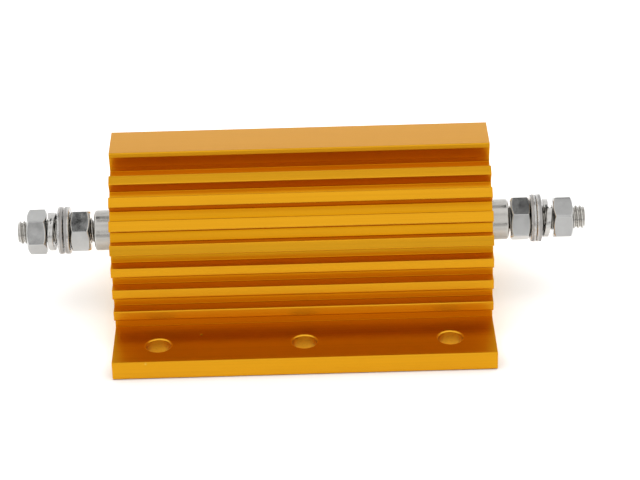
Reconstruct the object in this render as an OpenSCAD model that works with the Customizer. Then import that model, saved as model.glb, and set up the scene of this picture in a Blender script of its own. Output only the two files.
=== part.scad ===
// Aluminium housed wirewound power resistor with threaded stud terminals.
// The housing is one finned extrusion with two drilled flanges, and the wound
// element is potted in its bore. X runs along the housing, Y across the
// flanges and Z up. The origin is the centre of the underside. Millimetres.

/* [Housing] */
// Length of the cut extrusion
body_l = 93.5; // [90:0.5:102]
// Half of the width across both flanges
flange_half = 37.15; // [35.5:0.05:41]
// Thickness of the flanges
flange_t = 4.7; // [3.8:0.1:5.2]
// Height of the bore axis above the underside
axis_z = 21.4; // [20.9:0.1:22.1]
// Height of the flat ridge on top
ridge_z = 45.8; // [44.6:0.1:47.6]
// Half of the width of the flat ridge
ridge_half = 6.05; // [5.6:0.05:6.8]
// Half of the width of the ridge at its foot
ridge_neck = 5.2; // [4.7:0.05:5.5]
// Diameter of the bore that holds the element
bore_d = 29; // [27:0.5:30.5]

/* [Fins] */
// Distance of every fin tip from the axis
fin_r = 22.95; // [22.4:0.05:23.8]
// Distance of the groove floors from the axis
floor_r = 19.7; // [19.2:0.05:20.4]
// Thickness of a fin
fin_t = 2.7; // [2.2:0.05:3.1]
// Angle between neighbouring radial fins in degrees
fin_step = 15; // [14:0.5:15.5]
// Height from one level fin down to the next
fin_drop = 6; // [5.6:0.05:6.1]
// Radius of the rounded fin edges
fin_edge = 0.3; // [0.15:0.05:0.5]

/* [Mounting holes] */
// Diameter of the six flange holes
hole_d = 6; // [4.5:0.1:6.8]
// Distance from the middle hole to the outer holes along X
hole_x = 35.7; // [30.5:0.1:37.4]
// Distance of the hole rows from the middle plane
hole_y = 29.3; // [28:0.1:30.6]
// Width of the deburred rim of each hole
hole_rim = 0.3; // [0.1:0.05:0.5]

/* [Terminals] */
// Length of stud that stands out beyond the end of the housing
stud_out = 24.5; // [23.4:0.1:29.8]
// Outer diameter of the stud thread
stud_d = 5.95; // [5.8:0.05:6]
// Diameter of the plain collar
collar_d = 10.2; // [9:0.1:10.6]
// Length of collar that stands out of the housing
collar_out = 5.2; // [4.3:0.1:5.5]
// Nut width across flats
nut_af = 9.9; // [9.7:0.05:10.1]
// Nut thickness
nut_t = 4.9; // [4.4:0.05:5]
// Flat washer outer diameter
washer_d = 12; // [10.6:0.1:13.6]
// Flat washer thickness
washer_t = 1.3; // [1:0.05:1.3]
// Flat washer hole diameter
washer_hole = 6.5; // [6.5:0.05:6.6]
// Lock washer outer diameter
lock_d = 9.7; // [9:0.1:10.2]
// Lock washer hole diameter
lock_hole = 6.2; // [6.1:0.05:6.3]
// Lock washer wire thickness
lock_t = 1.3; // [1:0.05:1.35]
// Axial offset between the two ends of the split lock washer
lock_rise = 1; // [0.4:0.05:1.05]

/* [Element] */
// Outer diameter of the ceramic core
core_d = 17; // [14:0.5:18.5]
// Bore of the ceramic core
core_bore = 7; // [6:0.5:8.5]
// Length of the ceramic core
core_l = 71.5; // [68:0.5:73]
// Diameter of the resistance wire
wire_d = 0.85; // [0.5:0.05:1.2]
// Number of turns of resistance wire
turns = 40; // [20:1:48]
// Depth of the pressed end caps over the core
cap_depth = 6.8; // [5:0.1:8.5]

/* [Hidden] */
$fn = 96;
eps = 0.01;
half_l = body_l / 2;
collar_x = half_l + collar_out;
stud_end = half_l + stud_out;
cap_t = 0.7;
cap_end = core_l / 2 + 1;
foot_t = 1.7;
foot_d = 13.6;
disc_in = half_l - 5.1;
disc_out = half_l - 0.5;
wind_half = core_l / 2 - cap_depth;
pitch = 2 * wind_half / turns;
// Where each loose piece lies along its stud, measured from the middle plane
in_nut_l = half_l + 6.25;
in_nut_r = half_l + 5.75;
in_wash_l = half_l + 11.4;
in_wash_r = half_l + 10.8;
out_wash_l = half_l + 13.05;
out_wash_r = half_l + 12.15;
lock_l = half_l + 14.7;
lock_r = half_l + 13.7;
out_nut_l = half_l + 17.2;
out_nut_r = half_l + 16.4;

// Turns a shape that stands on Z so that it lies along +X on the bore axis
module on_axis(side = 1) {
    translate([0, 0, axis_z])
        rotate([0, side * 90, 0])
            children();
}

// ---- Housing ----

// A bar from the groove floor out to x = reach, with two rounded outer edges
module fin_2d(reach, t, root) {
    translate([root, -t / 2]) square([reach - root - fin_edge, t]);
    translate([root, -t / 2 + fin_edge]) square([reach - root, t - 2 * fin_edge]);
    for (s = [-1, 1])
        translate([reach - fin_edge, s * (t / 2 - fin_edge)]) circle(r = fin_edge);
}

// One half of the section, on the +Y side
module half_section_2d() {
    // Flange
    translate([0, flange_t / 2]) fin_flange_2d();
    // Foot fillet between the wall and the flange
    translate([floor_r, flange_t])
        difference() {
            translate([-eps, -eps]) square([0.4 + eps, 0.4 + eps]);
            translate([0.4, 0.4]) circle(r = 0.4);
        }
    // Wall below the axis and half disc above it
    square([floor_r, axis_z]);
    translate([0, axis_z]) circle(r = floor_r);
    // Radial fins
    for (i = [0 : 4])
        translate([0, axis_z]) rotate(i * fin_step)
            fin_2d(fin_r, fin_t, floor_r - 2);
    // Level fins below them
    for (i = [1 : 2])
        translate([0, axis_z - i * fin_drop])
            fin_2d(fin_r, fin_t, floor_r - 2);
    // Ridge with flared upper edge
    polygon([[0, axis_z], [ridge_neck, axis_z + floor_r - 3.4],
             [ridge_neck, ridge_z - 4.2], [ridge_half, ridge_z - 1.2],
             [ridge_half, ridge_z - 0.35], [ridge_half - 0.35, ridge_z], [0, ridge_z]]);
    translate([ridge_half - 0.35, ridge_z - 0.35]) circle(r = 0.35);
}

module fin_flange_2d() {
    e = 0.4;
    translate([0, -flange_t / 2]) square([flange_half - e, flange_t]);
    translate([0, -flange_t / 2 + e]) square([flange_half, flange_t - 2 * e]);
    for (s = [-1, 1])
        translate([flange_half - e, s * (flange_t / 2 - e)]) circle(r = e);
}

module section_2d() {
    intersection() {
        half_section_2d();
        square([100, 100]);
    }
    mirror([1, 0])
        intersection() {
            half_section_2d();
            square([100, 100]);
        }
}

module housing() {
    color("goldenrod")
        difference() {
            rotate([90, 0, 90])
                translate([0, 0, -half_l])
                    linear_extrude(height = body_l) section_2d();
            // Bore with a small chamfer at each end
            on_axis() cylinder(d = bore_d, h = 2 * body_l, center = true);
            for (s = [-1, 1])
                on_axis(s) translate([0, 0, half_l - 0.4])
                    cylinder(d1 = bore_d, d2 = bore_d + 1, h = 0.5);
            // Flange holes with deburred rims
            for (x = [-hole_x, 0, hole_x], y = [-hole_y, hole_y])
                translate([x, y, 0]) {
                    translate([0, 0, -1]) cylinder(d = hole_d, h = flange_t + 2);
                    translate([0, 0, flange_t - hole_rim])
                        cylinder(d1 = hole_d, d2 = hole_d + 4 * hole_rim, h = 2 * hole_rim);
                    translate([0, 0, -hole_rim])
                        cylinder(d2 = hole_d, d1 = hole_d + 4 * hole_rim, h = 2 * hole_rim);
                }
        }
}

// ---- Wound element ----

module ceramic_core() {
    color("linen")
        on_axis()
            difference() {
                cylinder(d = core_d, h = core_l, center = true);
                cylinder(d = core_bore, h = core_l + 2, center = true);
            }
}

// Outline of the close wound layer: one crest and one valley for each turn
function crests(out) = [for (i = [0 : turns - 1], k = [0 : 1])
    [core_d / 2 + (k == 0 ? wire_d * 0.55 : wire_d),
     -wind_half + i * pitch + k * pitch / 2]];

module winding_outline_2d(inner) {
    polygon(concat([[inner, -wind_half]], crests(1),
                   [[core_d / 2 + wire_d * 0.55, wind_half], [inner, wind_half]]));
}

module resistance_winding() {
    color("dimgray")
        on_axis() rotate_extrude() winding_outline_2d(core_d / 2);
}

// Pressed cup over one end of the core, with a hole for the stud's spigot
module core_cap(side) {
    on_axis(side)
        difference() {
            translate([0, 0, wind_half])
                cylinder(d = core_d + 2 * cap_t, h = cap_end - wind_half);
            translate([0, 0, wind_half - 1])
                cylinder(d = core_d, h = core_l / 2 - wind_half + 1);
            cylinder(d = 5, h = 2 * body_l, center = true);
        }
}

module core_cap_left() { color("silver") core_cap(-1); }
module core_cap_right() { color("silver") core_cap(1); }

// Filler cast around the element, from one end disc to the other
module potting_compound() {
    color("slategray")
        on_axis()
            difference() {
                cylinder(d = bore_d, h = 2 * disc_in, center = true);
                cylinder(d = collar_d, h = 2 * body_l, center = true);
                rotate_extrude() winding_outline_2d(0);
                for (s = [0, 1])
                    mirror([0, 0, s]) {
                        translate([0, 0, wind_half])
                            cylinder(d = core_d + 2 * cap_t, h = cap_end - wind_half);
                        translate([0, 0, cap_end])
                            cylinder(d = foot_d, h = foot_t);
                    }
            }
}

// Insulating disc that closes one end of the bore round the collar
module end_disc(side) {
    on_axis(side)
        difference() {
            translate([0, 0, disc_in]) cylinder(d = bore_d, h = disc_out - disc_in);
            cylinder(d = collar_d, h = 2 * body_l, center = true);
        }
}

module end_disc_left() { color("beige") end_disc(-1); }
module end_disc_right() { color("beige") end_disc(1); }

// ---- Terminals ----

// Turned stud: spigot in the core cap, welded foot, collar and thread
module terminal_stud(side) {
    r = 0.6;
    on_axis(side) {
        translate([0, 0, cap_end - 4.2]) cylinder(d = 5, h = 5);
        translate([0, 0, cap_end]) cylinder(d = foot_d, h = foot_t);
        translate([0, 0, cap_end])
            cylinder(d = collar_d, h = collar_x - r - cap_end);
        translate([0, 0, cap_end])
            cylinder(d = collar_d - 2 * r, h = collar_x - cap_end);
        translate([0, 0, collar_x - r])
            rotate_extrude() translate([collar_d / 2 - r, 0]) circle(r = r);
        translate([0, 0, cap_end])
            cylinder(d = stud_d, h = stud_end - 0.5 - cap_end);
        translate([0, 0, stud_end - 0.5])
            cylinder(d1 = stud_d, d2 = stud_d - 1, h = 0.5);
    }
}

module terminal_stud_left() { color("gainsboro") terminal_stud(-1); }
module terminal_stud_right() { color("gainsboro") terminal_stud(1); }

// Hexagon nut with both faces chamfered; turn is its angle about the stud
module hex_nut(side, x, turn) {
    ac = nut_af / cos(30);
    f = nut_af * 0.48;
    c = (ac / 2 + 0.1 - f) * tan(30);
    translate([side * x, 0, axis_z]) rotate([0, side * 90, 0])
        intersection() {
            rotate([0, 0, turn]) cylinder(d = ac, h = nut_t, $fn = 6);
            rotate_extrude()
                polygon([[stud_d / 2, 0], [f, 0], [ac / 2 + 0.1, c],
                         [ac / 2 + 0.1, nut_t - c], [f, nut_t], [stud_d / 2, nut_t]]);
        }
}

module inner_nut_left() { color("silver") hex_nut(-1, in_nut_l, 55.2); }
module inner_nut_right() { color("silver") hex_nut(1, in_nut_r, 52.3); }
module outer_nut_left() { color("silver") hex_nut(-1, out_nut_l, 24); }
module outer_nut_right() { color("silver") hex_nut(1, out_nut_r, 59.5); }

// Flat washer with broken edges, lifted off the stud's centre by lift
module flat_washer(side, x, lift = 0) {
    b = 0.17;
    translate([side * x, 0, axis_z + lift]) rotate([0, side * 90, 0])
        difference() {
            union() {
                cylinder(d1 = washer_d - 2 * b, d2 = washer_d, h = b);
                translate([0, 0, b]) cylinder(d = washer_d, h = washer_t - 2 * b);
                translate([0, 0, washer_t - b])
                    cylinder(d1 = washer_d, d2 = washer_d - 2 * b, h = b);
            }
            translate([0, 0, -1]) cylinder(d = washer_hole, h = washer_t + 2);
        }
}

module inner_washer_left() { color("silver") flat_washer(-1, in_wash_l, 0.25); }
module inner_washer_right() { color("silver") flat_washer(1, in_wash_r, 0.08); }
module outer_washer_left() { color("silver") flat_washer(-1, out_wash_l, 0.25); }
module outer_washer_right() { color("silver") flat_washer(1, out_wash_r, 0.08); }

// Split lock washer: a square section swept round just under one turn while it
// climbs by lock_rise. start is the angle of the split, measured from +Y towards
// +Z. dir turns the sweep round, so that both washers are wound the same way. The
// washers hang loose, and lean is how far each one tips towards the angle at.
lock_steps = 60;
lock_gap = 6;
function lock_ring(a, h) = let (
    ri = lock_hole / 2, ro = lock_d / 2, b = 0.1)
    [[h, ri * cos(a), ri * sin(a)],
     [h, (ro - b) * cos(a), (ro - b) * sin(a)],
     [h + b, ro * cos(a), ro * sin(a)],
     [h + lock_t - b, ro * cos(a), ro * sin(a)],
     [h + lock_t, (ro - b) * cos(a), (ro - b) * sin(a)],
     [h + lock_t, ri * cos(a), ri * sin(a)]];

module lock_sweep(start, dir, lean, at, shift) {
    n = lock_steps;
    span = 360 - lock_gap;
    pts = [for (i = [0 : n]) let (f = i / n)
        let (a = start + dir * (lock_gap / 2 + span * f))
        each lock_ring(a, lock_rise * (1 - f) + lean * cos(a - at) + shift)];
    q = 6;
    faces = concat(
        [[for (k = [0 : q - 1]) k]],
        [for (i = [0 : n - 1], k = [0 : q - 1])
            [i * q + k, (i + 1) * q + k, (i + 1) * q + (k + 1) % q, i * q + (k + 1) % q]],
        [[for (k = [q - 1 : -1 : 0]) n * q + k]]);
    polyhedron(points = pts,
               faces = dir > 0 ? faces : [for (f = faces) [for (k = [len(f) - 1 : -1 : 0]) f[k]]],
               convexity = 4);
}

module lock_washer_left() {
    color("silver")
        translate([-lock_l, 0, axis_z]) mirror([1, 0, 0]) lock_sweep(75, -1, 0.6, 165, 0);
}

module lock_washer_right() {
    color("silver")
        translate([lock_r, 0, axis_z]) lock_sweep(120, 1, 0.33, 90, -0.2);
}

housing();
ceramic_core();
resistance_winding();
core_cap_left();
core_cap_right();
potting_compound();
end_disc_left();
end_disc_right();
terminal_stud_left();
terminal_stud_right();
inner_nut_left();
inner_nut_right();
inner_washer_left();
inner_washer_right();
outer_washer_left();
outer_washer_right();
lock_washer_left();
lock_washer_right();
outer_nut_left();
outer_nut_right();
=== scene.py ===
import math

import bmesh
import bpy
from mathutils import Matrix, Vector, noise
from mathutils.geometry import delaunay_2d_cdt


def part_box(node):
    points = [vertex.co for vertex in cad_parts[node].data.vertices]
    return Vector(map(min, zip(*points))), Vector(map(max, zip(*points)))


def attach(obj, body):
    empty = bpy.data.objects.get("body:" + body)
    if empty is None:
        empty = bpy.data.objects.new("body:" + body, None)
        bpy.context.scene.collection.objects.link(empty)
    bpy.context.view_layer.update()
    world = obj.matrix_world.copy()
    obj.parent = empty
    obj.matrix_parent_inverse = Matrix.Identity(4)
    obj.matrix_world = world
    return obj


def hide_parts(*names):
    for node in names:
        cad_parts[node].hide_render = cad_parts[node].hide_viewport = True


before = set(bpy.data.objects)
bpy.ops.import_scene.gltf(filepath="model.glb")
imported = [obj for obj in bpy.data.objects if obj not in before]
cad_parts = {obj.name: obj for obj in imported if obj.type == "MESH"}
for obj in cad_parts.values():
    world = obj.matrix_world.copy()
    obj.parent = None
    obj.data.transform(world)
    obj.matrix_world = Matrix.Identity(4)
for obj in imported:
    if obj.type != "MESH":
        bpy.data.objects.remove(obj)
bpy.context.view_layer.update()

K = 0.85           # the photo was measured in units of 0.85 mm, and the shapes below are drawn in them
MM = 0.001 * K     # one such unit in metres
PI = math.pi
scene = bpy.context.scene
scene.view_settings.view_transform = "Standard"
scene.view_settings.look = "None"

# ---------------------------------------------------------------- sizes, in drawing units
house_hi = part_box("housing")[1]
HALF_L = house_hi.x / MM
FLANGE_HALF = house_hi.y / MM
RIDGE_Z = house_hi.z / MM
disc_lo, disc_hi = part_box("end_disc_right")
AXIS_Z = 0.5 * (disc_lo.z + disc_hi.z) / MM
BORE_R = 0.5 * (disc_hi.z - disc_lo.z) / MM
FLANGE_T = 4.7 / K
RIDGE_HALF, RIDGE_NECK = 6.05 / K, 5.2 / K
FIN_R, FLOOR_R, FIN_T, FIN_STEP, FIN_DROP = 22.95 / K, 19.7 / K, 2.7 / K, 15.0, 6.0 / K
HOLE_R, HOLE_X, HOLE_Y = 3.0 / K, 35.7 / K, 29.3 / K
COLLAR_R = 5.1 / K
STUD_R = 2.975 / K
PITCH = 1.0 / K


# ---------------------------------------------------------------- mesh helpers
def new_object(name, verts, faces, mats, node, sharp=35.0, weighted=True):
    """A mesh object that replaces one CAD node. verts in drawing units; faces may be (indices) or (indices, material)."""
    me = bpy.data.meshes.new(name)
    idx = [f[0] if isinstance(f[0], (tuple, list)) else f for f in faces]
    mid = [f[1] if isinstance(f[0], (tuple, list)) else 0 for f in faces]
    me.from_pydata([(x * MM, y * MM, z * MM) for x, y, z in verts], [], idx)
    for p, m in zip(me.polygons, mid):
        p.material_index = m
    bm = bmesh.new()
    bm.from_mesh(me)
    bmesh.ops.remove_doubles(bm, verts=bm.verts, dist=1e-7)
    bmesh.ops.dissolve_degenerate(bm, edges=bm.edges, dist=1e-8)
    bmesh.ops.recalc_face_normals(bm, faces=bm.faces)
    bm.to_mesh(me)
    bm.free()
    me.validate()
    for p in me.polygons:
        p.use_smooth = True
    me.set_sharp_from_angle(angle=math.radians(sharp))
    for m in mats:
        me.materials.append(m)
    ob = bpy.data.objects.new(name, me)
    scene.collection.objects.link(ob)
    if weighted:
        w = ob.modifiers.new("normals", "WEIGHTED_NORMAL")
        w.keep_sharp = True
        w.mode = "FACE_AREA"
        w.weight = 50
    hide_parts(node)
    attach(ob, "root")
    return ob


def along_x(side, x0, z0=AXIS_Z, y0=0.0):
    """Maps (s, angle, r) to a point: s runs outwards along the stud, the angle goes from +Y towards +Z."""
    def put(s, a, r):
        return (side * (x0 + s), y0 + r * math.cos(a), z0 + r * math.sin(a))
    return put


def rings(put, rows, closed=False, mats=None):
    """rows: list of rings, each a list of (s, angle, r). Joins each ring to the next; closed joins the last to the first."""
    n = len(rows[0])
    verts = [put(*p) for row in rows for p in row]
    faces = []
    last = len(rows) if closed else len(rows) - 1
    for i in range(last):
        j = (i + 1) % len(rows)
        for k in range(n):
            q = (k + 1) % n
            m = mats[i] if mats else 0
            faces.append(((i * n + k, i * n + q, j * n + q, j * n + k), m))
    return verts, faces


def arc(cx, cy, r, a0, a1, n):
    """Points of an arc, ends included, angles in degrees."""
    return [(cx + r * math.cos(math.radians(a0 + (a1 - a0) * i / n)),
             cy + r * math.sin(math.radians(a0 + (a1 - a0) * i / n))) for i in range(n + 1)]


# ---------------------------------------------------------------- materials
def tree(name):
    m = bpy.data.materials.new(name)
    m.use_nodes = True
    t = m.node_tree
    t.nodes.clear()
    out = t.nodes.new("ShaderNodeOutputMaterial")
    b = t.nodes.new("ShaderNodeBsdfPrincipled")
    t.links.new(b.outputs["BSDF"], out.inputs["Surface"])
    return m, t, b


class Net:
    """Small helper that wires procedural nodes."""

    def __init__(self, t):
        self.t = t
        self.coord = t.nodes.new("ShaderNodeTexCoord").outputs["Object"]

    def mapped(self, scale, rot=(0, 0, 0), loc=(0, 0, 0)):
        n = self.t.nodes.new("ShaderNodeMapping")
        n.inputs["Scale"].default_value = tuple(c / K for c in scale)
        n.inputs["Rotation"].default_value = rot
        n.inputs["Location"].default_value = loc
        self.t.links.new(self.coord, n.inputs["Vector"])
        return n.outputs["Vector"]

    def noise(self, vec, scale=1.0, detail=2.0, rough=0.5, dist=0.0):
        n = self.t.nodes.new("ShaderNodeTexNoise")
        n.inputs["Scale"].default_value = scale
        n.inputs["Detail"].default_value = detail
        n.inputs["Roughness"].default_value = rough
        n.inputs["Distortion"].default_value = dist
        self.t.links.new(vec, n.inputs["Vector"])
        return n.outputs["Fac"]

    def voronoi(self, vec, scale=1.0, feature="F1"):
        n = self.t.nodes.new("ShaderNodeTexVoronoi")
        n.feature = feature
        n.inputs["Scale"].default_value = scale
        self.t.links.new(vec, n.inputs["Vector"])
        return n.outputs["Distance"]

    def ramp(self, fac, stops, mode="LINEAR"):
        n = self.t.nodes.new("ShaderNodeValToRGB")
        n.color_ramp.interpolation = mode
        e = n.color_ramp.elements
        while len(e) < len(stops):
            e.new(0.5)
        for el, (p, c) in zip(e, stops):
            el.position = p
            el.color = c if len(c) == 4 else (*c, 1)
        self.t.links.new(fac, n.inputs["Fac"])
        return n.outputs["Color"]

    def span(self, fac, a, b, lo, hi):
        n = self.t.nodes.new("ShaderNodeMapRange")
        n.inputs["From Min"].default_value = a
        n.inputs["From Max"].default_value = b
        n.inputs["To Min"].default_value = lo
        n.inputs["To Max"].default_value = hi
        self.t.links.new(fac, n.inputs["Value"])
        return n.outputs["Result"]

    def math(self, op, a, b=None, c=None):
        n = self.t.nodes.new("ShaderNodeMath")
        n.operation = op
        for i, v in enumerate((a, b, c)):
            if v is None:
                continue
            if isinstance(v, (int, float)):
                n.inputs[i].default_value = v
            else:
                self.t.links.new(v, n.inputs[i])
        return n.outputs[0]

    def mix(self, fac, a, b, mode="MIX"):
        n = self.t.nodes.new("ShaderNodeMix")
        n.data_type = "RGBA"
        n.blend_type = mode
        for s, v in (("Factor", fac), ("A", a), ("B", b)):
            i = [x for x in n.inputs if x.name == s and x.enabled][0]
            if isinstance(v, (int, float)):
                i.default_value = v
            elif isinstance(v, tuple):
                i.default_value = (*v, 1) if len(v) == 3 else v
            else:
                self.t.links.new(v, i)
        return [o for o in n.outputs if o.enabled][0]

    def bump(self, height, strength, distance, normal=None):
        n = self.t.nodes.new("ShaderNodeBump")
        n.inputs["Strength"].default_value = strength
        n.inputs["Distance"].default_value = distance * K
        self.t.links.new(height, n.inputs["Height"])
        if normal is not None:
            self.t.links.new(normal, n.inputs["Normal"])
        return n.outputs["Normal"]

    def xyz(self, vec):
        n = self.t.nodes.new("ShaderNodeSeparateXYZ")
        self.t.links.new(vec, n.inputs[0])
        return n.outputs

    def near(self, place, radius):
        """1 close to a point given in drawing units, 0 from the radius on."""
        n = self.t.nodes.new("ShaderNodeVectorMath")
        n.operation = "DISTANCE"
        self.t.links.new(self.coord, n.inputs[0])
        n.inputs[1].default_value = tuple(c * MM for c in place)
        return self.span(n.outputs["Value"], 0.35 * radius * MM, radius * MM, 1.0, 0.0)

    def edge(self, lo=0.50, hi=0.56):
        """1 along outer edges, from the mesh's own curvature."""
        g = self.t.nodes.new("ShaderNodeNewGeometry")
        return self.span(g.outputs["Pointiness"], lo, hi, 0.0, 1.0)


GOLD = (0.69, 0.304, 0.0046)
PITS = [((-29.79, -29.27, 5.50), 0.55, (0.20, 0.07, 0.002)), ((-45.33, -43.70, 5.02), 0.5, (0.78, 0.46, 0.06))]


def gold_material(name="gold_anodised_extrusion", rough=0.34, coat=0.01, wash=None, marks=()):
    """Extruded aluminium, gold anodised: die lines along X, slight dye variation, and a painted highlight of paler gold
    along the outer edges.
    """
    m, t, b = tree(name)
    n = Net(t)
    fine = n.noise(n.mapped((14, 6200, 6200)), 1.0, 2.0, 0.6)
    mid = n.noise(n.mapped((5, 1500, 1500), loc=(3, 7, 1)), 1.0, 2.0, 0.5)
    blotch = n.noise(n.mapped((22, 45, 45), loc=(9, 2, 4)), 1.0, 3.0, 0.55)
    grit = n.noise(n.mapped((2600, 2600, 2600)), 1.0, 2.0, 0.5)
    base = n.ramp(blotch, [(0.30, (0.670, 0.290, 0.0040)), (0.52, GOLD), (0.74, (0.704, 0.316, 0.0054))])
    lines = n.ramp(mid, [(0.34, (0.955, 0.945, 0.93)), (0.50, (1, 1, 1)), (0.70, (1.0, 1.0, 1.0))])
    col = n.mix(1.0, base, lines, "MULTIPLY")
    hair = n.ramp(fine, [(0.34, (0.95, 0.94, 0.92)), (0.5, (1, 1, 1)), (0.72, (1, 1, 1))])
    col = n.mix(1.0, col, hair, "MULTIPLY")
    if wash:
        col = n.mix(wash[0], col, wash[1])
    # painted highlight: paler gold mixed in along the outer edges, found from the mesh's curvature
    col = n.mix(n.math("MULTIPLY", n.edge(0.515, 0.60), 0.30), col, (0.86, 0.50, 0.05))
    dents = None
    for place, radius, tone in marks:
        spot = n.near(place, radius)
        col = n.mix(n.math("MULTIPLY", spot, 0.8), col, tone)
        dents = spot if dents is None else n.math("MAXIMUM", dents, spot)
    t.links.new(col, b.inputs["Base Color"])
    b.inputs["Metallic"].default_value = 1.0
    b.inputs["Specular Tint"].default_value = (1.0, 0.90, 0.58, 1.0)
    r = n.math("ADD", n.span(mid, 0.3, 0.7, rough - 0.02, rough + 0.02), n.span(grit, 0.3, 0.7, -0.015, 0.015))
    t.links.new(r, b.inputs["Roughness"])
    b.inputs["Coat Weight"].default_value = coat
    b.inputs["Coat Roughness"].default_value = 0.26
    b.inputs["Coat IOR"].default_value = 1.35
    h = n.math("ADD", n.math("MULTIPLY", fine, 0.5), mid)
    nb = n.bump(h, 0.12, 0.00004)
    nb = n.bump(grit, 0.06, 0.00003, nb)
    if dents is not None:
        nb = n.bump(n.math("MULTIPLY", dents, -1.0), 0.9, 0.00025, nb)
    t.links.new(nb, b.inputs["Normal"])
    return m


def drilled_material():
    """The drilled and anodised hole walls and sawn ends: tool marks go round or across instead of along."""
    m, t, b = tree("gold_anodised_sawn")
    n = Net(t)
    saw = n.noise(n.mapped((900, 260, 1900), rot=(0.5, 0, 0)), 1.0, 3.0, 0.6)
    blotch = n.noise(n.mapped((60, 60, 60), loc=(1, 2, 3)), 1.0, 3.0, 0.55)
    # painted light: this gold is paler than the extrusion's, which lightens the inside of the holes and the sawn ends
    base = n.ramp(blotch, [(0.30, (0.80, 0.40, 0.02)), (0.55, (0.86, 0.45, 0.025)), (0.75, (0.88, 0.48, 0.03))])
    shade = n.ramp(saw, [(0.30, (0.86, 0.84, 0.82)), (0.55, (1, 1, 1)), (0.75, (1, 1, 1))])
    t.links.new(n.mix(1.0, base, shade, "MULTIPLY"), b.inputs["Base Color"])
    b.inputs["Metallic"].default_value = 1.0
    t.links.new(n.span(saw, 0.3, 0.7, 0.30, 0.42), b.inputs["Roughness"])
    b.inputs["Coat Weight"].default_value = 0.1
    b.inputs["Coat Roughness"].default_value = 0.3
    b.inputs["Coat IOR"].default_value = 1.5
    t.links.new(n.bump(saw, 0.4, 0.00008), b.inputs["Normal"])
    return m


def steel_material(name, base, rough, grain, strength, tint, speck=0.0, wave=0.12):
    """Nickel plated steel. grain is the texture scale per axis; speck adds small tumbling marks."""
    m, t, b = tree(name)
    n = Net(t)
    g = n.noise(n.mapped(grain), 1.0, 3.0, 0.55)
    cloud = n.noise(n.mapped((210, 210, 210), loc=(4, 1, 8)), 1.0, 3.0, 0.6)
    col = n.ramp(cloud, [(0.30, tuple(c * 0.93 for c in base)), (0.55, base), (0.78, tint)])
    # painted highlight: paler grey mixed in along the outer edges, found from the mesh's curvature
    col = n.mix(n.math("MULTIPLY", n.edge(0.51, 0.60), 0.5), col, (0.74, 0.73, 0.715))
    if speck:
        spots = n.voronoi(n.mapped((1500, 1500, 1500)), 1.0)
        dark = n.span(spots, 0.02, 0.20, speck, 0.0)
        col = n.mix(dark, col, (0.22, 0.21, 0.20))
    t.links.new(col, b.inputs["Base Color"])
    b.inputs["Metallic"].default_value = 1.0
    r = n.math("ADD", n.span(g, 0.3, 0.7, rough - 0.03, rough + 0.04), n.span(cloud, 0.3, 0.7, -0.02, 0.03))
    t.links.new(r, b.inputs["Roughness"])
    nb = n.bump(g, strength, 0.00005)
    nb = n.bump(cloud, wave, 0.00010, nb)
    t.links.new(nb, b.inputs["Normal"])
    return m


def plain_material(name, lo, mid, hi, rough, scale, bump, metallic=0.0):
    m, t, b = tree(name)
    n = Net(t)
    a = n.noise(n.mapped((scale, scale, scale)), 1.0, 5.0, 0.6)
    f = n.noise(n.mapped((scale * 9, scale * 9, scale * 9)), 1.0, 3.0, 0.6)
    t.links.new(n.ramp(a, [(0.28, lo), (0.52, mid), (0.76, hi)]), b.inputs["Base Color"])
    b.inputs["Metallic"].default_value = metallic
    t.links.new(n.span(f, 0.3, 0.7, rough - 0.05, rough + 0.06), b.inputs["Roughness"])
    t.links.new(n.bump(n.math("ADD", n.math("MULTIPLY", a, 0.6), f), bump, 0.00008), b.inputs["Normal"])
    return m


# A small pit and a nick that the photo shows on the front flange
gold = gold_material(marks=PITS)
gold_top = gold_material("gold_anodised_ridge_face", 0.36, 0.70, (0.55, (0.44, 0.15, 0.002)))
gold_cut = drilled_material()
stud_steel = steel_material("turned_stud", (0.455, 0.44, 0.412), 0.17, (5200, 300, 300), 0.12, (0.485, 0.47, 0.442))
nut_steel = steel_material("bright_nut", (0.445, 0.445, 0.437), 0.11, (420, 420, 420), 0.05, (0.50, 0.50, 0.492), 0.10, 0.03)
washer_steel = steel_material("tumbled_washer", (0.475, 0.467, 0.455), 0.24, (900, 900, 900), 0.12, (0.52, 0.51, 0.50), 0.2)
torn_steel = steel_material("sheared_rim", (0.36, 0.35, 0.34), 0.40, (1400, 700, 700), 0.5, (0.42, 0.41, 0.40), 0.35)
lock_steel = steel_material("spring_washer", (0.50, 0.49, 0.472), 0.15, (600, 600, 600), 0.08, (0.55, 0.54, 0.522), 0.1)
disc_ceramic = plain_material("pressed_disc", (0.70, 0.66, 0.57), (0.78, 0.74, 0.65), (0.83, 0.80, 0.72), 0.62, 500, 0.35)
core_ceramic = plain_material("steatite", (0.76, 0.73, 0.66), (0.82, 0.80, 0.74), (0.87, 0.85, 0.80), 0.55, 350, 0.3)
filler = plain_material("cast_filler", (0.10, 0.11, 0.115), (0.13, 0.14, 0.145), (0.17, 0.175, 0.18), 0.6, 300, 0.4)
wire = plain_material("oxidised_wire", (0.10, 0.085, 0.07), (0.19, 0.165, 0.14), (0.30, 0.26, 0.22), 0.42, 800, 0.3, 1.0)
cap_steel = plain_material("pressed_cap", (0.48, 0.48, 0.47), (0.56, 0.56, 0.55), (0.63, 0.63, 0.62), 0.34, 260, 0.2, 1.0)


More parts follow.
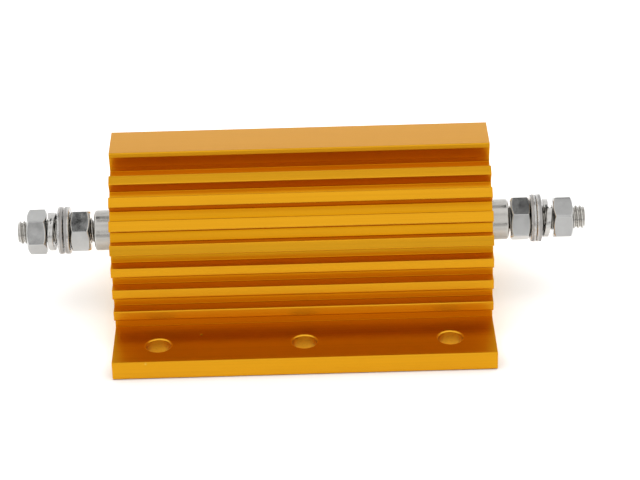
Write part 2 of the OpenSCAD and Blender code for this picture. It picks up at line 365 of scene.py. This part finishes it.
# ---------------------------------------------------------------- housing
def rounded(points):
    """points: (y, z, radius, steps). Rounds each corner of a closed polygon, which runs counter-clockwise."""
    out = []
    n = len(points)
    for i, (y, z, r, k) in enumerate(points):
        if r <= 0:
            out.append((y, z))
            continue
        p = Vector((y, z))
        a = Vector(points[i - 1][:2]) - p
        b = Vector(points[(i + 1) % n][:2]) - p
        la, lb = a.length, b.length
        a.normalize()
        b.normalize()
        half = 0.5 * math.acos(max(-1, min(1, a.dot(b))))
        d = min(r / math.tan(half), 0.49 * la, 0.49 * lb)
        rr = d * math.tan(half)
        c = p + (a + b).normalized() * (rr / math.sin(half))
        s, e = p + a * d - c, p + b * d - c
        a0, a1 = math.atan2(s.y, s.x), math.atan2(e.y, e.x)
        while a1 - a0 > PI:
            a1 -= 2 * PI
        while a1 - a0 < -PI:
            a1 += 2 * PI
        for j in range(k + 1):
            t = a0 + (a1 - a0) * j / k
            out.append((c.x + rr * math.cos(t), c.y + rr * math.sin(t)))
    return out


def half_outline():
    """The +Y half of the section, from the middle of the underside round to the middle of the ridge."""
    e, f, q = 0.35, 0.22, 3
    z = AXIS_Z
    pts = [(0, 0, 0, 0), (FLANGE_HALF, 0, 0.45, 4), (FLANGE_HALF, FLANGE_T, 0.45, 4), (FLOOR_R, FLANGE_T, 0.12, 2)]
    h = FIN_T / 2
    for i in (2, 1):
        zc = z - i * FIN_DROP
        pts += [(FLOOR_R, zc - h, f, 2), (FIN_R, zc - h, 0.7, 6), (FIN_R, zc + h, e, q), (FLOOR_R, zc + h, f, 2)]
    root = math.sqrt(FLOOR_R ** 2 - h ** 2)
    for i in range(5):
        a = math.radians(i * FIN_STEP)
        d, u = Vector((math.cos(a), math.sin(a))), Vector((-math.sin(a), math.cos(a)))
        corner = [(root, -h, f, 2), (FIN_R, -h, e, q), (FIN_R, h, e, q), (root, h, f, 2)]
        if i == 0:
            corner[0] = (FLOOR_R, -h, f, 2)
            corner[1] = (FIN_R, -h, 0.7, 6)
        for r, t, rad, k in corner:
            p = d * r + u * t
            pts.append((p.x, z + p.y, rad, k))
        a0 = a + math.asin(h / FLOOR_R)
        a1 = math.radians((i + 1) * FIN_STEP) - math.asin(h / FLOOR_R) if i < 4 else math.acos(RIDGE_NECK / FLOOR_R)
        for j in range(1, 4):
            b = a0 + (a1 - a0) * j / 4
            pts.append((FLOOR_R * math.cos(b), z + FLOOR_R * math.sin(b), 0, 0))
    pts += [(RIDGE_NECK, z + math.sqrt(FLOOR_R ** 2 - RIDGE_NECK ** 2), 0.12, 2), (RIDGE_NECK, RIDGE_Z - 4.9, 1.2, 3),
            (RIDGE_HALF, RIDGE_Z - 1.4, 0.5, 3), (RIDGE_HALF, RIDGE_Z, 0.4, 4), (0, RIDGE_Z, 0, 0)]
    return pts


def section():
    """Closed outline, counter-clockwise in (y, z)."""
    half = half_outline()
    full = half + [(-y, z, r, k) for y, z, r, k in reversed(half[1:-1])]
    return rounded(full)


def offset_in(poly, d):
    """Moves a closed counter-clockwise outline inwards by d, corner by corner."""
    out = []
    n = len(poly)
    for i in range(n):
        p0, p, p1 = (Vector(poly[(i + k) % n]) for k in (-1, 0, 1))
        a, b = (p - p0).normalized(), (p1 - p).normalized()
        na, nb = Vector((-a.y, a.x)), Vector((-b.y, b.x))
        m = (na + nb)
        m.normalize()
        c = max(0.5, m.dot(na))
        out.append(tuple(p + m * (d / c)))
    return out


def flat_with_holes(outer, holes):
    """Triangulates a polygon with circular holes. Returns points and triangles; the points start with the ones given."""
    pts = [Vector(p) for p in outer]
    loops = [list(range(len(outer)))]
    for h in holes:
        b = len(pts)
        pts += [Vector(p) for p in h]
        loops.append(list(range(b, b + len(h))))
    edges = [(lp[i], lp[(i + 1) % len(lp)]) for lp in loops for i in range(len(lp))]
    v, _, f, _, _, _ = delaunay_2d_cdt(pts, edges, [], 0, 1e-6)
    tris = []
    for tri in f:
        c = sum((v[i] for i in tri), Vector((0, 0))) / 3
        if not inside(c, outer) or any(inside(c, h) for h in holes):
            continue
        tris.append(tuple(tri))
    return [tuple(p) for p in v], tris


def inside(p, poly):
    x, y = p
    hit = False
    n = len(poly)
    for i in range(n):
        x0, y0 = poly[i]
        x1, y1 = poly[(i + 1) % n]
        if (y0 > y) != (y1 > y) and x < (x1 - x0) * (y - y0) / (y1 - y0) + x0:
            hit = not hit
    return hit


def circle(cx, cy, r, n):
    return [(cx + r * math.cos(2 * PI * k / n), cy + r * math.sin(2 * PI * k / n)) for k in range(n)]


def build_housing():
    verts, faces = [], []

    def add(vs, fs, m=0):
        b = len(verts)
        verts.extend(vs)
        faces.extend((tuple(b + i for i in f), m) for f in fs)

    out = section()
    n = len(out)
    bev = 0.16
    stations = [(-HALF_L, bev), (-HALF_L + 0.3 * bev, 0.3 * bev), (-HALF_L + bev, 0.0)]
    stations += [(HALF_L - bev, 0.0), (HALF_L - 0.3 * bev, 0.3 * bev), (HALF_L, bev)]
    loops = [(x, offset_in(out, d) if d else out) for x, d in stations]
    # which outline edges are the underside and the flange tops, where the holes are
    x_a, x_b = -HALF_L + bev, HALF_L - bev
    holes = [(sx * HOLE_X, sy * HOLE_Y) for sx in (-1, 0, 1) for sy in (-1, 1)]
    flat = {}
    for i in range(n):
        (y0, z0), (y1, z1) = out[i], out[(i + 1) % n]
        if abs(z0) < 1e-6 and abs(z1) < 1e-6:
            flat[i] = ("under", y0, y1)
        if abs(z0 - FLANGE_T) < 1e-6 and abs(z1 - FLANGE_T) < 1e-6 and abs(y0 - y1) > 10:
            flat[i] = ("top", y0, y1)
    for k in range(len(loops) - 1):
        xa, la = loops[k]
        xb, lb = loops[k + 1]
        for i in range(n):
            if k == 2 and i in flat:
                continue
            j = (i + 1) % n
            on_top = la[i][1] > RIDGE_Z - 0.05 and la[j][1] > RIDGE_Z - 0.05
            add([(xa, *la[i]), (xa, *la[j]), (xb, *lb[j]), (xb, *lb[i])], [(0, 1, 2, 3)], 2 if on_top else 0)
    seg = 48
    for kind, y0, y1 in flat.values():
        z = 0.0 if kind == "under" else FLANGE_T
        lo, hi = min(y0, y1), max(y0, y1)
        here = [(cx, cy) for cx, cy in holes if lo < cy < hi]
        outer = [(x_a, lo), (x_b, lo), (x_b, hi), (x_a, hi)]
        v, f = flat_with_holes(outer, [circle(cx, cy, HOLE_R + 0.5, seg) for cx, cy in here])
        add([(x, y, z) for x, y in v], f)
    # the deburred rims and the walls of the holes
    for cx, cy in holes:
        prof = [(0.5, 0.0), (0.44, 0.012), (0.30, 0.07), (0.15, 0.17), (0.04, 0.30), (0.0, 0.45)]
        rows = [(HOLE_R + r, FLANGE_T - d) for r, d in prof] + [(HOLE_R + r, d) for r, d in reversed(prof)]
        vs = [(x, y, zz) for rr, zz in rows for x, y in circle(cx, cy, rr, seg)]
        fs = []
        for i in range(len(rows) - 1):
            for k in range(seg):
                q = (k + 1) % seg
                fs.append((i * seg + k, i * seg + q, (i + 1) * seg + q, (i + 1) * seg + k))
        add(vs, fs, 1)
    # sawn end faces with the bore
    bn = 120
    for s in (-1, 1):
        x, lp = loops[0] if s < 0 else loops[-1]
        v, f = flat_with_holes(lp, [circle(0, AXIS_Z, BORE_R + 0.6, bn)])
        add([(x, y, z) for y, z in v], f, 1)
    prof = [(HALF_L, 0.6), (HALF_L - 0.12, 0.44), (HALF_L - 0.42, 0.05), (HALF_L - 0.56, 0.0)]
    rows = [(-x, r) for x, r in prof] + [(x, r) for x, r in reversed(prof)]
    vs, fs = [], []
    for x, r in rows:
        vs += [(x, y, z) for y, z in circle(0, AXIS_Z, BORE_R + r, bn)]
    for i in range(len(rows) - 1):
        for k in range(bn):
            q = (k + 1) % bn
            fs.append((i * bn + k, i * bn + q, (i + 1) * bn + q, (i + 1) * bn + k))
    add(vs, fs, 1)
    return new_object("housing_shell", verts, faces, [gold, gold_cut, gold_top], "housing", 40)


build_housing()


# ---------------------------------------------------------------- studs
def thread_depth(ph):
    """Depth below the crest for a phase from 0 to 1, rounded crest and root."""
    p = abs(((ph + 0.5) % 1.0) - 0.5) * 2
    t = min(1.0, max(0.0, (p - 0.24) / 0.60))
    return 0.58 * (t * t * (3 - 2 * t) * 0.45 + t * 0.55)


def build_stud(side, name):
    put = along_x(side, 0.0)
    lo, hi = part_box(name)
    end = (hi.x if side > 0 else -lo.x) / MM
    start = (lo.x if side > 0 else -hi.x) / MM
    collar_end = HALF_L + 5.2 / K
    foot0 = start + 4.2 / K
    n = 96
    ang = [2 * PI * k / n for k in range(n)]
    rows = []

    def ring(s, r):
        rows.append([(s, a, r) for a in ang])

    for s, r in [(start, 2.6), (start + 0.3, 2.9), (foot0, 2.9), (foot0, 7.8), (foot0 + 0.2, 8.0),
                 (foot0 + 1.8, 8.0), (foot0 + 2.0, 7.8), (foot0 + 2.0, COLLAR_R)]:
        ring(s, r)
    for k in range(1, 12):
        ring(foot0 + 2 + (collar_end - 0.7 - foot0 - 2) * k / 12, COLLAR_R)
    for y, x in arc(COLLAR_R - 0.7, 0, 0.7, 0, 90, 7):
        ring(collar_end - 0.7 + x, y)
    ring(collar_end, 3.9)
    ring(collar_end, 2.95)
    steps = 15
    s0, s1 = collar_end + 0.06, end
    count = int(round((s1 - s0) / (PITCH / steps)))
    for i in range(count + 1):
        s = s0 + (s1 - s0) * i / count
        row = []
        for a in ang:
            # right-hand thread: seen from the end, it turns clockwise going away
            ph = s / PITCH - side * a / (2 * PI)
            r = STUD_R - thread_depth(ph)
            r = min(r, 2.90 + (s1 - s) * 0.95)
            r = min(r, 3.08 + (s - s0) * 1.1)
            row.append((s, a, r))
        rows.append(row)
    ring(end, 2.75)
    ring(end, 1.2)
    verts, faces = rings(put, rows)
    faces.append((tuple(range(n)), 0))
    b = (len(rows) - 1) * n
    faces.append((tuple(range(b, b + n)), 0))
    return new_object(name + "_turned", verts, faces, [stud_steel], name, 50)


# ---------------------------------------------------------------- nuts
def build_nut(side, name, turn):
    lo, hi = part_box(name)
    s0 = (lo.x if side > 0 else -hi.x) / MM
    t = (hi.x - lo.x) / MM
    put = along_x(side, s0)
    af = 9.9 / K
    a = af / 2
    rc = 0.28
    d = (a - rc) / math.cos(PI / 6)
    pt = math.atan2(rc * 0.5, d + rc * math.cos(PI / 6))
    corner0 = math.radians(turn - 30 if side > 0 else 30 - turn)
    cols = []
    for k in range(6):
        base = corner0 + k * PI / 3
        for f in (-1, -0.5, 0, 0.5, 1):
            cols.append((base + f * pt, f * pt))
        m = 12
        for j in range(1, m):
            phi = pt + (PI / 3 - 2 * pt) * j / m
            cols.append((base + phi, phi if phi < PI / 6 else phi - PI / 3))

    def hexr(phi):
        phi = abs(phi)
        if phi <= pt + 1e-9:
            return d * math.cos(phi) + math.sqrt(rc * rc - (d * math.sin(phi)) ** 2)
        return a / math.cos(PI / 6 - phi)

    f = af * 0.48
    k30 = math.tan(PI / 6)
    bore, mouth = STUD_R + 0.03, STUD_R + 0.42

    def row(fn):
        return [fn(ang, hexr(phi)) for ang, phi in cols]

    rows = []
    q = 0.28

    def outer(flip):
        """Rings from the flat face out over the chamfer and its worn edge to the side of the nut."""
        def at(s):
            return t - s if flip else s
        edge = [(q * (0.5 * 2 / math.sqrt(3) + math.cos(math.radians(g))), q * (math.sin(math.radians(g)) - 1))
                for g in (150, 135, 120, 105, 90)]
        return [
            row(lambda an, r: (at(0.0), an, mouth + 0.05)),
            row(lambda an, r: (at(0.0), an, f - 0.10)),
            row(lambda an, r: (at(0.015), an, f + 0.02)),
        ] + [row(lambda an, r, ds=ds, dr=dr: (at((r - f) * k30 + ds), an, r + dr)) for ds, dr in edge] + [
            row(lambda an, r: (at((r - f) * k30 + q * 1.2), an, r)),
        ]

    inner = [row(lambda an, r, s=s, q=q: (s, an, q)) for s, q in
             [(0.0, mouth), (0.06, mouth - 0.06), (0.45, bore), (t - 0.45, bore), (t - 0.06, mouth - 0.06), (t, mouth)]]
    rows = outer(False) + [row(lambda an, r: (t / 2, an, r))] + list(reversed(outer(True))) + list(reversed(inner))
    verts, faces = rings(put, rows, closed=True)
    return new_object(name + "_hex", verts, faces, [nut_steel], name, 32)


# ---------------------------------------------------------------- washers
def build_washer(side, name, burr, outward, tear=1.0):
    """Punched washer. One side of the rim is burnished with a rolled edge, the other side has torn off rough."""
    lo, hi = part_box(name)
    s0 = (lo.x if side > 0 else -hi.x) / MM
    t = (hi.x - lo.x) / MM
    zc = 0.5 * (lo.z + hi.z) / MM
    ro = 0.5 * (hi.z - lo.z) / MM
    ri = 3.25 / K
    put = along_x(side, s0, zc)
    split = 0.5 * t
    step = 0.085 * tear
    roll = 0.30
    prof = [(0.0, ri + 0.18, 0), (0.0, ro - 0.6, 0), (0.0, ro - step - 0.12, 0), (0.05, ro - step - 0.03, 1)]
    prof += [(0.05 + (split - 0.10) * k / 6, ro - step, 1) for k in range(1, 7)]
    prof += [(split, ro - 0.4 * step, 2), (split + 0.04, ro, 3), (split + 0.10, ro, 3)]
    prof += [(s, r, 0) for r, s in arc(ro - roll, t - roll, roll, 0, 90, 5)]
    prof += [(t, ri + 0.12, 0), (t - 0.12, ri, 0), (0.18, ri, 0)]
    n = 200
    rows = []
    for s, r, kind in prof:
        row = []
        for k in range(n):
            an = 2 * PI * k / n
            w = 0.016 * math.sin(3 * an + burr) + 0.008 * math.sin(11 * an + 2.3 * burr)
            rr = r - (abs(w) if r > 6 else 0)
            ss = s
            p = Vector((6 * math.cos(an) + burr, 6 * math.sin(an), 2.2 * s))
            if kind == 1:
                rr -= 0.035 * tear * (0.5 + noise.noise(p * 2.1) + 0.5 * noise.noise(p * 5.3))
            if kind in (1, 2, 3) and s > 0.2:
                wave = 0.09 * noise.noise(p * 0.55) + 0.03 * noise.noise(p * 2.4)
                ss += wave * (1.0 if kind > 1 else s / split)
            row.append((ss if outward > 0 else t - ss, an, min(rr, ro)))
        rows.append(row)
    mats = [1 if prof[i][2] in (1, 2) else 0 for i in range(len(prof))]
    verts, faces = rings(put, rows, closed=True, mats=mats)
    return new_object(name + "_disc", verts, faces, [washer_steel, torn_steel], name, 36)


def build_lock(side, name, start, turn_dir, lean, lean_at, shift):
    """Split spring washer: climbs along one turn, and hangs a little askew on its stud."""
    lo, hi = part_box(name)
    t, rise = 1.3 / K, 1.0 / K
    ri, ro = 3.1 / K, 4.85 / K
    gap = 6.0
    n = 150
    rows = []
    for i in range(n + 1):
        f = i / n
        an = math.radians(start + turn_dir * (gap / 2 + (360 - gap) * f))
        h = rise * (1 - f) + lean / K * math.cos(an - math.radians(lean_at)) + shift / K
        c = 0.16
        sec = []
        for cx, cy, a0, a1 in ((ro - c, c, -90, 0), (ro - c, t - c, 0, 90), (ri + 0.1, t - 0.1, 90, 180), (ri + 0.1, 0.1, 180, 270)):
            rad = c if cx > 5 else 0.1
            sec += arc(cx, cy, rad, a0, a1, 3)
        p = Vector((5 * math.cos(an), 5 * math.sin(an), side))
        worn = 0.02 * abs(noise.noise(p * 0.8)) + 0.008 * abs(noise.noise(p * 3.0))
        rows.append([(h + s, an, r - (worn if r > 5 else 0)) for r, s in sec])
    low = min(p[0] for row in rows for p in row)
    put = along_x(side, (lo.x if side > 0 else -hi.x) / MM - low)
    m = len(rows[0])
    verts = [put(*p) for row in rows for p in row]
    faces = []
    for i in range(n):
        for k in range(m):
            q = (k + 1) % m
            faces.append(((i * m + k, i * m + q, (i + 1) * m + q, (i + 1) * m + k), 0))
    faces.append((tuple(range(m)), 0))
    faces.append((tuple(range(n * m, n * m + m)), 0))
    return new_object(name + "_coil", verts, faces, [lock_steel], name, 40)


for sd, word in ((-1, "left"), (1, "right")):
    build_stud(sd, "terminal_stud_" + word)
build_nut(-1, "inner_nut_left", 55.2)
build_nut(-1, "outer_nut_left", 24)
build_nut(1, "inner_nut_right", 52.3)
build_nut(1, "outer_nut_right", 59.5)
build_washer(-1, "inner_washer_left", 0.4, -1)
build_washer(-1, "outer_washer_left", 1.9, 1)
build_washer(1, "inner_washer_right", 2.7, 1)
build_washer(1, "outer_washer_right", 5.1, -1, 0.6)
build_lock(-1, "lock_washer_left", 75, -1, 0.6, 165, 0.0)
build_lock(1, "lock_washer_right", 120, 1, 0.33, 90, -0.2)


# ---------------------------------------------------------------- end discs
def build_disc(side, name):
    lo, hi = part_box(name)
    a = (lo.x if side > 0 else -hi.x) / MM
    b = (hi.x if side > 0 else -lo.x) / MM
    put = along_x(side, 0.0)
    R, r = BORE_R, COLLAR_R + 0.02
    prof = [(a, r), (a, R - 0.2), (a + 0.2, R), (b - 0.35, R), (b - 0.1, R - 0.1), (b, R - 0.35), (b, R - 1.1),
            (b - 0.10, R - 1.25), (b - 0.10, r + 1.3), (b, r + 1.15), (b, r + 0.35), (b - 0.12, r + 0.08), (b - 0.3, r)]
    n = 120
    rows = [[(s, 2 * PI * k / n, q) for k in range(n)] for s, q in prof]
    verts, faces = rings(put, rows, closed=True)
    return new_object(name + "_pressed", verts, faces, [disc_ceramic], name, 35)


build_disc(-1, "end_disc_left")
build_disc(1, "end_disc_right")

# The sealed inner pieces keep their CAD meshes and get their own materials
for node, mat in (("ceramic_core", core_ceramic), ("resistance_winding", wire), ("core_cap_left", cap_steel),
                  ("core_cap_right", cap_steel), ("potting_compound", filler)):
    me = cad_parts[node].data
    me.materials.clear()
    me.materials.append(mat)


# ---------------------------------------------------------------- floor and light
def sheet_object(name, verts, faces, mat):
    me = bpy.data.meshes.new(name)
    me.from_pydata(verts, [], faces)
    me.materials.append(mat)
    for p in me.polygons:
        p.use_smooth = True
    ob = bpy.data.objects.new(name, me)
    scene.collection.objects.link(ob)
    return ob


def floor_material():
    m, t, b = tree("pale_floor")
    n = Net(t)
    a = n.noise(n.mapped((30, 30, 30)), 1.0, 3.0, 0.5)
    pale = n.ramp(a, [(0.3, (0.97, 0.97, 0.97)), (0.7, (0.99, 0.99, 0.99))])
    # painted shade: in front of the object the floor is darker, in steps down to mid grey further out
    front = n.ramp(n.span(n.xyz(n.coord)[1], -0.5 * K, 0.0, 0.0, 1.0),
                   [(0.0, (0.46, 0.46, 0.46)), (0.28, (0.46, 0.46, 0.46)), (0.71, (0.52, 0.52, 0.52)),
                    (0.775, (0.62, 0.62, 0.62)), (0.82, (0.86, 0.86, 0.86)), (0.89, (0.80, 0.80, 0.80)), (0.92, (0.82, 0.82, 0.82)), (0.935, (1, 1, 1))])
    t.links.new(n.mix(1.0, pale, front, "MULTIPLY"), b.inputs["Base Color"])
    b.inputs["Roughness"].default_value = 0.9
    b.inputs["Specular IOR Level"].default_value = 0.1
    return m


# One sweep: the floor runs back and curves up into a backdrop
prof = [(-3.0, 0.0), (1.2, 0.0)]
for i in range(1, 17):
    an = (PI / 2) * i / 16
    prof.append((1.2 + 0.8 * math.sin(an), 0.8 * (1 - math.cos(an))))
prof.append((2.0, 2.6))
fv, ff = [], []
for y, z in prof:
    fv += [(-3.5, y * K, z * K - 0.0001), (3.5, y * K, z * K - 0.0001)]
for i in range(len(prof) - 1):
    ff.append((2 * i, 2 * i + 1, 2 * i + 3, 2 * i + 2))
sheet_object("floor_sweep", fv, ff, floor_material())


def area(name, loc, look, size, power, color=(1, 1, 1)):
    l = bpy.data.lights.new(name, "AREA")
    l.shape = "RECTANGLE"
    l.size, l.size_y = size
    l.energy = power
    l.color = color
    o = bpy.data.objects.new(name, l)
    scene.collection.objects.link(o)
    o.location = loc
    d = Vector(look) - Vector(loc)
    o.rotation_euler = d.to_track_quat("-Z", "Y").to_euler()
    return o


key = area("overhead", (0, -0.25 * K, 1.7 * K), (0, 0, 0.0), (2.2 * K, 1.6 * K), 17 * K * K)
key.visible_glossy = False

# Soft boxes all round, as one sky of bright panels with the narrow gaps between them: its angle runs from
# the horizon in front (0) over the top (90) to the horizon behind (180)
w = bpy.data.worlds.new("soft_room")
w.use_nodes = True
scene.world = w
wt = w.node_tree
wn = Net.__new__(Net)
wn.t = wt
wn.coord = wt.nodes.new("ShaderNodeTexCoord").outputs["Generated"]
x_, y_, z_ = wn.xyz(wn.coord)
turn_ = wn.math("MULTIPLY", wn.math("ARCTAN2", z_, wn.math("MULTIPLY", y_, -1.0)), 0.5 / PI)
pos_ = wn.math("ADD", turn_, 0.5)
PANELS = [(-14, 0.95), (-3, 0.95), (7, 1.0), (15, 1.08), (32, 1.04), (45, 1.02), (51, 0.86),
          (57, 0.86), (66, 1.12), (82, 1.15), (95.5, 1.12), (112.5, 1.1), (117, 1.0), (126, 1.03), (150, 0.97), (176, 0.97)]
sky = wn.ramp(pos_, [(0.5 + d / 360.0, (v, v, v)) for d, v in PANELS])


def dark_patch(sky, d0, d1, soft, x0, x1, x_soft, level):
    """A duller piece of the sky between two angles and two sideways limits, with soft edges."""
    def band(v, a, b, s):
        return wn.math("MULTIPLY", wn.span(v, a - s, a, 0.0, 1.0), wn.span(v, b, b + s, 1.0, 0.0))
    m = wn.math("MULTIPLY", band(pos_, 0.5 + d0 / 360, 0.5 + d1 / 360, soft / 360), band(x_, x0, x1, x_soft))
    return wn.mix(m, sky, (level, level, level))


for x0, x1, over, ahead in ((-0.27, -0.084, 0.08, 0.20), (-0.079, 0.072, 0.90, 1.05), (0.077, 0.27, 0.08, 0.20)):
    sky = dark_patch(sky, 96.5, 112.5, 5.0, x0, x1, 0.004, over)
    sky = dark_patch(sky, -1.0, 3.0, 2.5, x0, x1, 0.004, ahead)
sky = dark_patch(sky, 75.0, 90.0, 1.5, -0.16, -0.084, 0.004, 0.04)
sky = dark_patch(sky, 12.0, 24.0, 2.0, -0.19, -0.11, 0.02, 0.52)
side_ = wn.span(wn.math("ABSOLUTE", x_), 0.72, 0.93, 0.0, 1.0)
sky = wn.mix(side_, sky, (0.85, 0.85, 0.85))
bg = wt.nodes["Background"]
wt.links.new(sky, bg.inputs["Color"])
bg.inputs["Strength"].default_value = 1.125

# ---------------------------------------------------------------- camera
cam = bpy.data.cameras.new("camera")
cam.sensor_fit = "HORIZONTAL"
cam.sensor_width = 36.0
cam.lens = 132.985
cam.clip_start = 0.05
cam.clip_end = 20
co = bpy.data.objects.new("camera", cam)
scene.collection.objects.link(co)
el, yaw, roll = math.radians(28.5357), math.radians(0.1891), math.radians(-1.5089)
fwd = Vector((math.sin(yaw) * math.cos(el), math.cos(yaw) * math.cos(el), -math.sin(el)))
right = fwd.cross(Vector((0, 0, 1))).normalized()
up = right.cross(fwd)
r2 = math.cos(roll) * right + math.sin(roll) * up
u2 = -math.sin(roll) * right + math.cos(roll) * up
rot = Matrix((r2, u2, -fwd)).transposed().to_4x4()
co.matrix_world = Matrix.Translation((0.0032987 * K, -0.618210 * K, 0.355963 * K)) @ rot
scene.camera = co
